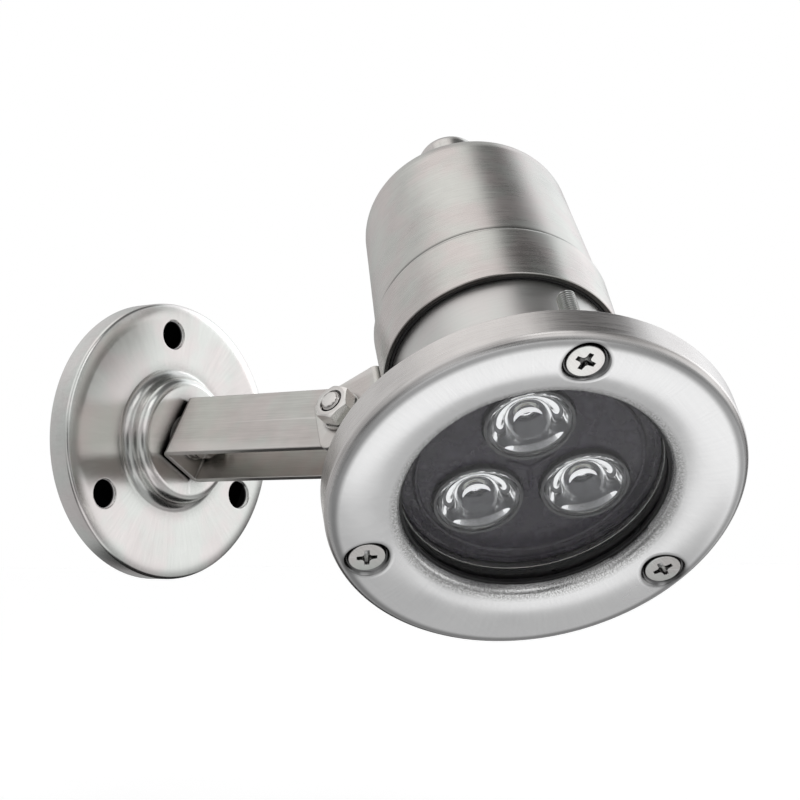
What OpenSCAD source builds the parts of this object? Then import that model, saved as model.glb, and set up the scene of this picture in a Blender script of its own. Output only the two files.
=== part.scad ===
// Underwater pond spotlight on a wall bracket, in stainless steel.
// The origin is the centre of the wall flange's back rim: the wall is the plane y = 0,
// the light stands out from it towards -Y, and +Z is up.

/* [Wall flange] */
// Outer radius of the pressed flange
flange_r = 42.2; // [38:0.1:50]
// Height of the flat face above the wall
flange_h = 8.6; // [7:0.1:12]
// Height of the domed centre above the wall
dome_h = 15.2; // [14.6:0.1:20]
// Radius where the dome rises from the face
dome_foot_r = 21.4; // [20:0.1:25]
// Diameter of the circle through the three fixing holes
hole_pcd = 65; // [62:0.5:66]
// Radius of each fixing hole
hole_r = 4.3; // [2.5:0.1:4.5]
// Thickness of the pressed sheet
sheet = 1.5; // [1:0.1:2]

/* [Arm] */
// Distance from the wall to the tilt axis
pivot_h = 85; // [70:1:120]
// Width of the strip that the arm is bent from
arm_w = 20; // [16:0.5:22]
// Outside distance across the two legs
arm_across = 16.5; // [16:0.1:20]
// Thickness of the arm strip
arm_t = 1.8; // [1.2:0.1:1.8]

/* [Rest pose] */
// Turn of the arm about the wall's normal
swivel = 32; // [0:1:360]
// Angle between the wall's normal and the line from the pivot to the lamp
tilt = 33; // [-55:1:68]

/* [Lamp] */
// Outer radius of the front bezel
bezel_r = 55; // [54.5:0.1:60]
// Depth of the bezel from its crest to its rear edge
bezel_depth = 10.6; // [10:0.1:14]
// Radius of the circle through the three bezel screws
screw_circle_r = 46.8; // [46:0.1:47.5]
// Distance from the tilt axis to the lamp's own axis
lamp_offset = 46; // [46:0.5:55]
// Radius of the can's collar
collar_r = 33.4; // [33.3:0.1:33.6]
// Distance from the bezel's crest to the collar's front edge
collar_front = 52; // [45:0.2:54]
// Distance from the bezel's crest to the can's rear face
can_rear = 123.5; // [118:0.5:140]
// Radius of the circle through the three lens centres
lens_circle_r = 16.4; // [15.5:0.1:16.8]

/* [Hidden] */
$fn = 96;

// Play between faces that slide on each other, and round pins that turn
slip = 0.05;
play = 0.08;
// Room beside threads and rims that sit in plain holes
thread_play = 0.05;

// M6 fasteners of both pivots
m6_r = 3;
m6_flats = 10;
m6_nut_h = 5;
m6_head_h = 4;
m6_washer_r = 6;
m6_washer_t = 1;
spring_washer_t = 1.5;
liner_t = 0.4;

// Flange profile
rim_arc = 1.6;
rim_slope = 10;
slope_r = 37.5;
foot_arc = 3.6;
shoulder_arc = 2.4;
edge_chamfer = 0.35;

// Heights of the stack on the dome
liner_z = dome_h;
arm_z = liner_z + liner_t + slip;
swivel_washer_z = arm_z + arm_t + slip;
swivel_spring_z = swivel_washer_z + m6_washer_t;
swivel_nut_z = swivel_spring_z + spring_washer_t;
thread_over = 0.8;

// Arm ends
arm_bend_out = 2.4;
arm_end = 7.4;
arm_end_arc = 5.5;

// Ears of the lamp bracket, just outside the arm's legs
ear_t = 1.6;
ear_in = arm_across / 2 + slip;
ear_out = ear_in + ear_t;
ear_end = 8.8;
ear_end_arc = 3.5;
ear_w = 21;
ear_shift = 0.7;
collar_len = 19.5;
pivot_z = collar_front + 7;
ear_z = pivot_z + ear_shift;
tilt_washer_x = ear_out + slip;
tilt_nut_x = tilt_washer_x + m6_washer_t;

// Turns of the screws and of the lenses about the lamp's axis; the gaps lie between the lenses
screw_turn = -75;
lens_turn = -90;
gap_turn = 90;

// Bezel section: a shallow crown between the skirt and the rolled-in lip
crown_r = 47;
crown_arc = 26;
bezel_edge_arc = 2.4;
lip_arc = 2;
lip_centre_r = 37.6;
lip_angle = 165;
lip_end = 4.9;
lip_in = 35.27;

// Bezel screws, M5 countersunk
m5_r = 2.5;
m5_head_r = 4.9;
m5_head_h = 2.6;
m5_top = 0.3;
m5_end = 26;
boss_r = 6.3;
boss_end = 3.6;
recess_w = 1.1;
recess_len = 5.6;
recess_depth = 1.7;

// Glass and its gaskets
gasket_in = 34.7;
glass_r = 38;
glass_front = 6;
glass_t = 5;
rear_gasket_t = 0.9;
seat_z = glass_front + glass_t + rear_gasket_t;

// Housing: flange, glass pocket, plate pocket and neck
pocket_r = 38.4;
housing_flange_r = 52.9;
housing_flange_z = 7;
housing_flange_t = 2.8;
wall_t = 2;
plate_pocket_r = 34.7;
plate_floor_z = 18.4;
neck_r = 31;
neck_in = 29.2;
weld_gap = 0.03;
thread_len = 5;
thread_start = collar_front + collar_len + 1;
neck_end = thread_start + thread_len;

// Optics
plate_r = 34.6;
plate_z = 14.6;
plate_t = 2;
rib_h = 0.7;
ring_r = 30.2;
cup_r = 12;
cup_t = 0.95;
cup_gap = 0.15;
cup_z = 13;
lens_r = 10.95;
lens_z = 13.5;
lens_h = 10.6;
lens_flange_t = 1.2;
lens_foot_r = 3.9;
lens_body_r = lens_r - 0.7;
lens_steps = 6;
led_z = 27;
led_base_h = 1.2;
led_dome_r = 2.4;

// Electronics
board_r = 28.6;
board_t = 1.6;
sink_r = 29.15;
sink_z = led_z + board_t;
sink_h = 12;
fin_depth = 6;
wire_hole_r = 3.6;
wire_r = 0.9;
m3_r = 1.5;
m3_circle_r = 21;
driver_z = sink_z + sink_h + 4;
driver_len = 48;
driver_w = 40;
driver_y = 1.6;

// Can
collar_in = neck_r + 1;
can_t = 1.2;
can_step = 1;
can_draft = 2.2;
can_corner = 10;
thread_in = neck_r + 0.1;
o_ring_r = 0.75;
o_ring_groove = 0.55;
o_ring_z = [collar_front + 1.2, collar_front + 9.5];

// Cable gland
gland_flats = 20;
gland_thread_r = 7.5;
gland_hole_r = 7.65;
gland_bore_r = 4.6;
gland_seal_t = 1.2;
gland_hex_h = 5.4;
gland_hex_z = can_rear + gland_seal_t;
gland_cap_z = gland_hex_z + gland_hex_h + 0.4;
gland_cap_len = 21;
gland_nut_h = 3.6;
cable_r = 3.3;
bush_r = 5.9;
bush_nose = 5;
bush_z = gland_cap_z + 1;
gland_lip = 2;

// Points of an arc, in the order in which they are walked
function arc_points(centre, radius, from, to, steps = 8) =
    [for (i = [0:steps]) let (a = from + (to - from) * i / steps)
        centre + radius * [cos(a), sin(a)]];

// Three places at 120 degrees, the first on the +X side turned by "start"
module three(radius, start) {
    for (i = [0:2]) rotate([0, 0, start + 120 * i]) translate([radius, 0, 0]) children();
}

// A ring with a plain section
module washer(outer, inner, thick) {
    rotate_extrude() translate([inner, 0]) square([outer - inner, thick]);
}

// Hexagonal prism with its corners turned off at the chosen ends
module hex_prism(flats, h, chamfer_low, chamfer_high) {
    corner = flats / sqrt(3);
    trim = corner - flats / 2 * 0.96;
    rise = trim * tan(30);
    low = chamfer_low ? rise : 0;
    high = chamfer_high ? rise : 0;
    intersection() {
        cylinder(h = h, r = corner, $fn = 6);
        rotate_extrude() polygon([[0, 0], [corner - (chamfer_low ? trim : 0), 0], [corner, low],
            [corner, h - high], [corner - (chamfer_high ? trim : 0), h], [0, h]]);
    }
}

// Bolt shank that ends in a small chamfer
module shank(r, h) {
    c = r * 0.25;
    cylinder(h = h - c, r = r);
    translate([0, 0, h - c]) cylinder(h = c, r1 = r, r2 = r - c);
}

module hex_nut(flats, h, bore_r) {
    difference() {
        hex_prism(flats, h, true, true);
        translate([0, 0, -1]) cylinder(h = h + 2, r = bore_r);
        translate([0, 0, -0.01]) cylinder(h = edge_chamfer, r1 = bore_r + edge_chamfer, r2 = bore_r);
        translate([0, 0, h - edge_chamfer + 0.01])
            cylinder(h = edge_chamfer, r1 = bore_r, r2 = bore_r + edge_chamfer);
    }
}

// Frames of the three bodies: z leaves the wall, or runs back along the lamp
module on_wall() { rotate([90, 0, 0]) children(); }
module on_arm() { rotate([0, 180 + swivel, 0]) rotate([90, 0, 0]) children(); }
module on_lamp() {
    on_arm() translate([0, 0, pivot_h]) rotate([90 + tilt, 0, 0])
        translate([0, lamp_offset, -pivot_z]) children();
}
// Along the tilt axis, with z towards the nut
module on_tilt_axis() { on_arm() translate([0, 0, pivot_h]) rotate([0, 90, 0]) children(); }

// Flange section: outer skin from the centre hole to the wall, then back under the sheet
module flange_section() {
    rim_centre_r = flange_r - rim_arc;
    rim_end_r = rim_centre_r + rim_arc * sin(rim_slope);
    rim_centre_z = flange_h - (rim_end_r - slope_r) * tan(rim_slope) - rim_arc * cos(rim_slope);
    wall_r = dome_foot_r - foot_arc;
    shoulder = [wall_r - shoulder_arc, dome_h - shoulder_arc];
    foot = [dome_foot_r, flange_h + foot_arc];
    rim = [rim_centre_r, rim_centre_z];
    polygon(concat(
        [[m6_r + play, dome_h]],
        arc_points(shoulder, shoulder_arc, 90, 0),
        arc_points(foot, foot_arc, 180, 270),
        [[slope_r, flange_h]],
        arc_points(rim, rim_arc, 90 - rim_slope, 0),
        [[flange_r, 0], [flange_r - sheet, 0]],
        arc_points(rim, rim_arc - sheet, 0, 90 - rim_slope, 2),
        [[slope_r, flange_h - sheet]],
        arc_points(foot, foot_arc + sheet, 270, 180),
        arc_points(shoulder, shoulder_arc - sheet, 0, 90, 4),
        [[m6_r + play, dome_h - sheet]]));
}

module wall_flange() {
    color("silver") on_wall() difference() {
        rotate_extrude() flange_section();
        three(hole_pcd / 2, 90) {
            cylinder(h = flange_h + 1, r = hole_r);
            translate([0, 0, flange_h - edge_chamfer])
                cylinder(h = 1, r1 = hole_r, r2 = hole_r + 1);
        }
    }
}

module swivel_bolt() {
    under = dome_h - sheet;
    color("gainsboro") on_wall() {
        translate([0, 0, under - m6_head_h]) hex_prism(m6_flats, m6_head_h, true, false);
        translate([0, 0, under]) shank(m6_r, swivel_nut_z + m6_nut_h + thread_over - under);
    }
}

module swivel_liner() {
    color("dimgray") on_wall() translate([0, 0, liner_z]) washer(8, m6_r + play, liner_t);
}

module swivel_washer() {
    color("gainsboro") on_wall() translate([0, 0, swivel_washer_z])
        washer(m6_washer_r, m6_r + play, m6_washer_t);
}

// Split ring: a thin sloping cut parts it
module swivel_spring_washer() {
    color("darkgray") on_wall() translate([0, 0, swivel_spring_z]) difference() {
        washer(5.4, m6_r + play, spring_washer_t);
        translate([2, -0.4, -1]) rotate([25, 0, 0]) cube([5, 0.8, 4]);
    }
}

module swivel_nut() {
    color("gainsboro") on_wall() translate([0, 0, swivel_nut_z])
        hex_nut(m6_flats, m6_nut_h, m6_r + thread_play);
}

// Channel section of the arm, seen along the strip's width
module channel_section() {
    half = arm_across / 2;
    top = pivot_h + arm_end;
    bend = half - arm_bend_out;
    bend_z = arm_z + arm_bend_out;
    polygon(concat(
        [[half, top]],
        arc_points([bend, bend_z], arm_bend_out, 0, -90, 6),
        arc_points([-bend, bend_z], arm_bend_out, -90, -180, 6),
        [[-half, top], [arm_t - half, top]],
        arc_points([-bend, bend_z], arm_bend_out - arm_t, -180, -90, 3),
        arc_points([bend, bend_z], arm_bend_out - arm_t, -90, 0, 3),
        [[half - arm_t, top]]));
}

// A strip as seen on its flat side, with two rounded corners at its end
module rounded_strip(w, from, to, arc) {
    polygon(concat(
        [[-w / 2, from], [w / 2, from]],
        arc_points([w / 2 - arc, to - arc], arc, 0, 90),
        arc_points([arc - w / 2, to - arc], arc, 90, 180)));
}

module arm_bracket() {
    color("silver") on_arm() difference() {
        intersection() {
            rotate([90, 0, 0]) linear_extrude(height = arm_w, center = true) channel_section();
            rotate([90, 0, 90]) linear_extrude(height = arm_across + 2, center = true)
                rounded_strip(arm_w, arm_z - 1, pivot_h + arm_end, arm_end_arc);
        }
        cylinder(h = pivot_h / 2, r = m6_r + play);
        translate([-arm_across, 0, pivot_h]) rotate([0, 90, 0])
            cylinder(h = 2 * arm_across, r = m6_r + play);
    }
}

module tilt_bolt() {
    color("gainsboro") on_tilt_axis() {
        translate([0, 0, -tilt_nut_x - m6_head_h]) hex_prism(m6_flats, m6_head_h, true, false);
        translate([0, 0, -tilt_nut_x]) shank(m6_r, 2 * tilt_nut_x + m6_nut_h + thread_over);
    }
}

module tilt_washers() {
    color("gainsboro") on_tilt_axis() {
        translate([0, 0, tilt_washer_x]) washer(m6_washer_r, m6_r + play, m6_washer_t);
        translate([0, 0, -tilt_nut_x]) washer(m6_washer_r, m6_r + play, m6_washer_t);
    }
}

module tilt_nut() {
    color("gainsboro") on_tilt_axis() translate([0, 0, tilt_nut_x]) rotate([0, 0, 20])
        hex_nut(m6_flats, m6_nut_h, m6_r + thread_play);
}

// Outline of the two ears and of the web that follows the collar, seen along the lamp
module bracket_section(seat_r, reach) {
    difference() {
        translate([-ear_out, -reach]) square([2 * ear_out, reach - collar_r / 2]);
        difference() {
            translate([-ear_in, -reach - 1]) square([2 * ear_in, reach]);
            circle(r = seat_r + ear_t);
        }
        circle(r = seat_r);
    }
}

module lamp_bracket() {
    seat_r = collar_r + 0.02;
    reach = lamp_offset + ear_end;
    color("silver") on_lamp() difference() {
        intersection() {
            translate([0, 0, ear_z - ear_w / 2]) linear_extrude(height = ear_w)
                bracket_section(seat_r, reach);
            translate([0, 0, ear_z]) rotate([180, 0, 0]) rotate([0, 90, 0])
                linear_extrude(height = 4 * ear_out, center = true)
                    rounded_strip(ear_w, 0, reach, ear_end_arc);
        }
        translate([-2 * ear_out, -lamp_offset, pivot_z]) rotate([0, 90, 0])
            cylinder(h = 4 * ear_out, r = m6_r + play);
    }
}

// Bezel section, walked along the outside from the skirt to the lip and back inside
module bezel_section() {
    crown = [crown_r, crown_arc];
    lip_reach = crown_arc - lip_arc;
    lip_dr = lip_centre_r - crown_r;
    lip_turn = acos(lip_dr / lip_reach);
    lip = crown + lip_reach * [cos(lip_turn), -sin(lip_turn)];
    edge_reach = crown_arc - bezel_edge_arc;
    edge_turn = acos((bezel_r - bezel_edge_arc - crown_r) / edge_reach);
    edge = crown + edge_reach * [cos(edge_turn), -sin(edge_turn)];
    polygon(concat(
        [[bezel_r, bezel_depth]],
        arc_points(edge, bezel_edge_arc, 0, -edge_turn),
        arc_points(crown, crown_arc, -edge_turn, -lip_turn, 12),
        arc_points(lip, lip_arc, -lip_turn, -lip_angle, 6),
        [[lip_in, lip_end], [lip_in + sheet, lip_end]],
        arc_points(lip, lip_arc - sheet, -lip_angle, -lip_turn, 3),
        arc_points(crown, crown_arc - sheet, -lip_turn, -edge_turn, 12),
        arc_points(edge, bezel_edge_arc - sheet, -edge_turn, 0, 4),
        [[bezel_r - sheet, bezel_depth]]));
}

// Pressed bezel; a short boss under each countersink stands for its dimple
module bezel() {
    cone_z = m5_top + m5_head_h;
    color("gainsboro") on_lamp() difference() {
        union() {
            rotate_extrude() bezel_section();
            three(screw_circle_r, screw_turn) translate([0, 0, sheet])
                cylinder(h = boss_end - sheet, r = boss_r);
        }
        three(screw_circle_r, screw_turn) {
            translate([0, 0, -1]) cylinder(h = boss_end + 2, r = m5_r + thread_play);
            translate([0, 0, m5_top])
                cylinder(h = m5_head_h, r1 = m5_head_r + thread_play, r2 = m5_r + thread_play);
            translate([0, 0, -cone_z]) cylinder(h = cone_z + m5_top, r = m5_head_r + thread_play);
        }
    }
}

// Countersunk screw with a cross recess
module bezel_screws() {
    color("silver") on_lamp() three(screw_circle_r, screw_turn) difference() {
        union() {
            translate([0, 0, m5_top]) cylinder(h = m5_head_h, r1 = m5_head_r, r2 = m5_r);
            translate([0, 0, m5_top + m5_head_h]) shank(m5_r, m5_end - m5_top - m5_head_h);
        }
        for (turn = [20, 110]) rotate([0, 0, turn])
            translate([-recess_len / 2, -recess_w / 2, m5_top - 1])
                cube([recess_len, recess_w, recess_depth + 1]);
    }
}

module front_gasket() {
    color("black") on_lamp() translate([0, 0, lip_end])
        washer(glass_r, gasket_in, glass_front - lip_end);
}

module glass() {
    c = 0.4;
    color([0.8, 0.9, 0.88, 0.35]) on_lamp() translate([0, 0, glass_front]) rotate_extrude()
        polygon([[0, 0], [glass_r - c, 0], [glass_r, c], [glass_r, glass_t - c],
            [glass_r - c, glass_t], [0, glass_t]]);
}

module rear_gasket() {
    color("black") on_lamp() translate([0, 0, glass_front + glass_t])
        washer(glass_r, gasket_in + 0.2, rear_gasket_t);
}

// Turned flange with the glass pocket, the plate pocket and the floor that the neck is welded into
module housing_cup() {
    flange_back = housing_flange_z + housing_flange_t;
    pocket_out = pocket_r + wall_t;
    plate_out = plate_pocket_r + wall_t;
    floor_back = plate_floor_z + wall_t;
    weld = 1;
    color("silver") on_lamp() difference() {
        rotate_extrude() polygon([
            [pocket_r, housing_flange_z], [housing_flange_r, housing_flange_z],
            [housing_flange_r, flange_back], [pocket_out + weld, flange_back],
            [pocket_out, flange_back + weld], [pocket_out, seat_z + wall_t],
            [plate_out, seat_z + wall_t], [plate_out, floor_back - weld],
            [plate_out - weld, floor_back], [neck_r + weld_gap, floor_back],
            [neck_r + weld_gap, plate_floor_z], [plate_pocket_r, plate_floor_z],
            [plate_pocket_r, seat_z], [pocket_r, seat_z]]);
        three(screw_circle_r, screw_turn) translate([0, 0, housing_flange_z - 1])
            cylinder(h = housing_flange_t + 2, r = m5_r + thread_play);
    }
}

// Tube with two O-ring grooves and the thread that the can is screwed onto
module housing_neck() {
    color("silver") on_lamp() difference() {
        rotate_extrude() polygon([
            [neck_in, plate_floor_z], [neck_r, plate_floor_z], [neck_r, thread_start],
            [thread_in - slip, thread_start], [thread_in - slip, neck_end], [neck_in, neck_end]]);
        for (z = o_ring_z) translate([0, 0, z - o_ring_r])
            washer(neck_r + 1, neck_r - o_ring_groove, 2 * o_ring_r);
    }
}

// Black plate with a raised ring, a raised rim and a rib between each two lenses
module lens_plate() {
    color([0.1, 0.1, 0.12]) on_lamp() difference() {
        union() {
            translate([0, 0, plate_z]) cylinder(h = plate_t, r = plate_r);
            translate([0, 0, plate_z - rib_h]) washer(ring_r + 0.7, ring_r - 0.7, rib_h);
            translate([0, 0, plate_z - rib_h]) washer(plate_r, plate_r - 1.4, rib_h);
            translate([0, 0, plate_z]) washer(plate_r, plate_r - 1.6, plate_floor_z - plate_z);
            three(ring_r / 2, gap_turn) translate([-ring_r / 2 + 2, -0.8, plate_z - rib_h])
                cube([ring_r / 2 - 2, 1.6, rib_h]);
        }
        three(lens_circle_r, lens_turn) translate([0, 0, plate_z - 2])
            cylinder(h = plate_t + 4, r = cup_r + cup_gap);
    }
}

// Point of the lens's flared side, from its mouth at t = 0 to its foot at t = 1
function lens_wall(t) = [lens_foot_r + (lens_body_r - lens_foot_r) * sqrt(1 - t),
    lens_z + lens_flange_t + (lens_h - lens_flange_t) * t];

// Black cups that carry the lenses and stand on the board
module lens_cups() {
    mouth_z = lens_z + lens_flange_t;
    foot_z = led_z - 1.4;
    foot_r = lens_foot_r + cup_gap;
    body_r = lens_body_r + cup_gap;
    color([0.08, 0.08, 0.08]) on_lamp() three(lens_circle_r, lens_turn) rotate_extrude() polygon(concat(
        [[cup_r - cup_t, cup_z], [cup_r, cup_z], [cup_r, mouth_z + 2.6], [foot_r + 1.6, foot_z - 1],
            [foot_r + 1.6, led_z], [foot_r, led_z], [foot_r, lens_z + lens_h]],
        [for (i = [lens_steps - 1:-1:1]) lens_wall(i / lens_steps) + [cup_gap, 0]],
        [[body_r, mouth_z + 0.1], [cup_r - cup_t, mouth_z + 0.1]]));
}

// Collimator lenses: flat front with a central well, flared body, cavity over the emitter
module tir_lenses() {
    back = lens_z + lens_h;
    mouth_z = lens_z + lens_flange_t;
    well_r = 3.4;
    well_depth = 2.2;
    cavity_r = 2.9;
    color([0.85, 0.88, 0.9, 0.5]) on_lamp() three(lens_circle_r, lens_turn) rotate_extrude() polygon(concat(
        [[0, lens_z + well_depth - 0.5], [well_r * 0.6, lens_z + well_depth - 0.2],
            [well_r - 0.2, lens_z + well_depth], [well_r, lens_z]],
        [[lens_r, lens_z], [lens_r, mouth_z], [lens_body_r, mouth_z]],
        [for (i = [1:lens_steps - 1]) lens_wall(i / lens_steps)],
        [[lens_foot_r, back], [cavity_r, back], [cavity_r - 0.3, back - 4.6], [0, back - 5.4]]));
}

module led_emitters() {
    color("gold") on_lamp() three(lens_circle_r, lens_turn) {
        translate([0, 0, led_z - led_base_h]) cylinder(h = led_base_h, r = 3.4);
        intersection() {
            translate([0, 0, led_z - led_base_h]) sphere(r = led_dome_r);
            translate([0, 0, led_z - led_base_h - 4]) cylinder(h = 4.5, r = 4);
        }
    }
}

module led_board() {
    color("white") on_lamp() difference() {
        translate([0, 0, led_z]) cylinder(h = board_t, r = board_r);
        translate([0, 0, led_z - 1]) cylinder(h = board_t + 2, r = wire_hole_r);
        three(m3_circle_r, gap_turn) translate([0, 0, led_z - 1])
            cylinder(h = board_t + 2, r = m3_r + thread_play);
    }
}

module board_screws() {
    head_h = 1.8;
    color("silver") on_lamp() three(m3_circle_r, gap_turn) difference() {
        union() {
            translate([0, 0, led_z - head_h]) cylinder(h = head_h, r = 2.8);
            translate([0, 0, led_z]) shank(m3_r, 7);
        }
        translate([-2, -0.4, led_z - head_h - 1]) cube([4, 0.8, 1.9]);
    }
}

// Aluminium slug pressed into the neck, with slots between its rear fins
module heat_sink() {
    slot_w = 3;
    color("lightgray") on_lamp() difference() {
        translate([0, 0, sink_z]) cylinder(h = sink_h, r = sink_r);
        translate([0, 0, sink_z - 1]) cylinder(h = sink_h + 2, r = wire_hole_r);
        three(m3_circle_r, gap_turn) translate([0, 0, sink_z - 1])
            cylinder(h = sink_h - 3, r = m3_r + thread_play);
        for (side = [-1, 1], i = [0:1])
            translate([-sink_r, side * (14 + 7 * i) - slot_w / 2, sink_z + sink_h - fin_depth])
                cube([2 * sink_r, slot_w, fin_depth + 1]);
    }
}

// Pair of insulated wires from the driver board to the emitters' board
module lamp_leads() {
    color("red") on_lamp() for (side = [-1, 1])
        translate([side * 1.3, 0, led_z + 0.2]) cylinder(h = driver_z - led_z + 3, r = wire_r);
}

// Angle plate between the heat sink and the driver board
module driver_bracket() {
    foot = 9;
    plate_y = driver_y + board_t;
    color("lightgray") on_lamp() translate([-driver_w / 2, plate_y, sink_z + sink_h]) {
        cube([driver_w, foot, 1.5]);
        cube([driver_w, 1.5, driver_len * 0.7]);
    }
}

module driver_board() {
    color("darkgreen") on_lamp() translate([-driver_w / 2, driver_y, driver_z])
        cube([driver_w, board_t, driver_len]);
}

// Toroidal choke, lying on the driver board
module driver_coil() {
    coil_r = 6;
    section_r = 2.6;
    color("peru") on_lamp() translate([-9, driver_y - section_r, driver_z + 14])
        rotate([90, 0, 0]) rotate_extrude() translate([coil_r, 0]) circle(r = section_r);
}

module driver_capacitors() {
    can_r = 5;
    color("midnightblue") on_lamp() for (i = [0:1])
        translate([9, driver_y - can_r, driver_z + 6 + 19 * i]) cylinder(h = 16, r = can_r);
}

module driver_chips() {
    color("black") on_lamp() {
        translate([-14, driver_y - 2, driver_z + 26]) cube([8, 2, 6]);
        translate([-4, driver_y - 1.6, driver_z + 27]) cube([5, 1.6, 4]);
    }
}

// Screw terminals where the supply cable is joined
module terminal_block() {
    block = [12, 10, 9];
    color("seagreen") on_lamp() translate([-16, driver_y - block[1], driver_z + driver_len - block[2]])
        difference() {
            cube(block);
            for (x = [3, 9]) {
                translate([x, block[1] / 2, block[2] - 6]) cylinder(h = 7, r = 1.6);
                translate([x, -1, 3.5]) rotate([-90, 0, 0]) cylinder(h = 4, r = 1.8);
            }
        }
}

module can_o_rings() {
    centre_r = neck_r - o_ring_groove + o_ring_r + 0.02;
    color("black") on_lamp() for (z = o_ring_z)
        translate([0, 0, z]) rotate_extrude() translate([centre_r, 0]) circle(r = o_ring_r);
}

// Drawn can: collar, joggle, drafted body, rounded rear edge, gland hole
module rear_can() {
    step_z = collar_front + collar_len;
    body_r = collar_r - can_step;
    tail_r = body_r - can_draft;
    corner = [tail_r - can_corner, can_rear - can_corner];
    edge = 0.25;
    relief = 0.6;
    color("silver") on_lamp() rotate_extrude() polygon(concat(
        [[collar_in + edge, collar_front], [collar_r - edge, collar_front], [collar_r, collar_front + edge],
            [collar_r, step_z - relief], [collar_r - edge, step_z], [body_r, step_z + can_step]],
        arc_points(corner, can_corner, 0, 90),
        [[gland_hole_r, can_rear], [gland_hole_r, can_rear - can_t]],
        arc_points(corner, can_corner - can_t, 90, 0),
        [[thread_in - edge, neck_end + relief + edge], [thread_in, neck_end + relief],
            [thread_in, thread_start - edge], [collar_in, step_z - edge],
            [collar_in, collar_front + edge]]));
}

module gland_seal() {
    color("black") on_lamp() translate([0, 0, can_rear]) washer(gland_flats / 2, gland_hole_r, gland_seal_t);
}

// Gland body: inner thread, hexagon, outer thread and a seat for the bush
module gland_body() {
    tail = can_rear - can_t - gland_nut_h - 3;
    top = gland_cap_z + 9;
    color("silver") on_lamp() difference() {
        union() {
            translate([0, 0, tail]) cylinder(h = gland_hex_z - tail, r = gland_thread_r);
            translate([0, 0, gland_hex_z]) hex_prism(gland_flats, gland_hex_h, false, true);
            translate([0, 0, gland_hex_z]) cylinder(h = top - gland_hex_z, r = gland_thread_r);
        }
        translate([0, 0, tail - 1]) cylinder(h = top - tail + 2, r = gland_bore_r);
        translate([0, 0, bush_z]) cylinder(h = top, r = bush_r + thread_play);
    }
}

module gland_locknut() {
    color("silver") on_lamp() translate([0, 0, can_rear - can_t - gland_nut_h])
        hex_nut(gland_flats, gland_nut_h, gland_thread_r + thread_play);
}

// Rubber bush: a collar on the gland's step and a nose in its bore
module gland_bush() {
    top = gland_cap_z + gland_cap_len - gland_lip;
    color("black") on_lamp() difference() {
        union() {
            translate([0, 0, bush_z]) cylinder(h = top - bush_z, r = bush_r);
            translate([0, 0, bush_z - bush_nose])
                cylinder(h = bush_nose + 1, r = gland_bore_r - thread_play);
        }
        translate([0, 0, bush_z - bush_nose - 1]) cylinder(h = top, r = cable_r);
    }
}

// Cap nut: hexagon below, dome above, bore that closes on the bush
module gland_cap() {
    hex_h = 9;
    nose = 4;
    dome_r = gland_flats / 2 - 0.3;
    thread_h = 9.4;
    color("silver") on_lamp() translate([0, 0, gland_cap_z]) difference() {
        union() {
            hex_prism(gland_flats, hex_h, true, true);
            rotate_extrude() polygon(concat(
                [[0, hex_h - 1], [dome_r, hex_h - 1], [dome_r, gland_cap_len - nose - 2]],
                arc_points([dome_r - nose, gland_cap_len - nose], nose, 0, 90),
                [[0, gland_cap_len]]));
        }
        translate([0, 0, -1]) cylinder(h = thread_h + 1, r = gland_thread_r + thread_play);
        translate([0, 0, thread_h - 0.01])
            cylinder(h = 1.8, r1 = gland_thread_r, r2 = bush_r + thread_play);
        cylinder(h = gland_cap_len - gland_lip, r = bush_r + thread_play);
        translate([0, 0, gland_cap_len - gland_lip - 1]) cylinder(h = gland_lip + 2, r = gland_bore_r);
    }
}

wall_flange();
swivel_bolt();
swivel_liner();
swivel_washer();
swivel_spring_washer();
swivel_nut();
arm_bracket();
tilt_bolt();
tilt_washers();
tilt_nut();
lamp_bracket();
bezel();
bezel_screws();
front_gasket();
glass();
rear_gasket();
housing_cup();
housing_neck();
lens_plate();
lens_cups();
tir_lenses();
led_emitters();
led_board();
board_screws();
heat_sink();
lamp_leads();
driver_bracket();
driver_board();
driver_coil();
driver_capacitors();
driver_chips();
terminal_block();
can_o_rings();
rear_can();
gland_seal();
gland_body();
gland_locknut();
gland_bush();
gland_cap();
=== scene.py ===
from math import acos, asin, atan2, cos, degrees, pi, radians, sin, sqrt, tan

import bmesh
import bpy
from mathutils import Matrix, Vector


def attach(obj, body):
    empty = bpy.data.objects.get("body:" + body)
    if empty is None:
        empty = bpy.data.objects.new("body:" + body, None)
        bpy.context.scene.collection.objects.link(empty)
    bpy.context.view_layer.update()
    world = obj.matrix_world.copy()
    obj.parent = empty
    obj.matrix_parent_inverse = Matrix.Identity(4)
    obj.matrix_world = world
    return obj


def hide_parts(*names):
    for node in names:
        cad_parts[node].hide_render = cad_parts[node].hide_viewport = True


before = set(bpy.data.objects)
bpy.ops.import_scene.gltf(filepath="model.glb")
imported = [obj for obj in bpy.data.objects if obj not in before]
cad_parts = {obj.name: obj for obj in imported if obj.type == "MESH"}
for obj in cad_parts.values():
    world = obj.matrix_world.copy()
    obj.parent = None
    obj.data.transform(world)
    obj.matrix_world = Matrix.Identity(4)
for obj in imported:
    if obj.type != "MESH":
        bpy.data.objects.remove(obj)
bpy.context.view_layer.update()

scene = bpy.context.scene
MM = 0.001


def placed(name, data):
    """A new object in the scene."""
    ob = bpy.data.objects.new(name, data)
    scene.collection.objects.link(ob)
    return ob


def meshed(name, verts, faces):
    mesh = bpy.data.meshes.new(name)
    mesh.from_pydata(verts, [], faces)
    return mesh


def hidden_from(ob, *rays):
    for ray in rays:
        setattr(ob, "visible_" + ray, False)


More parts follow.
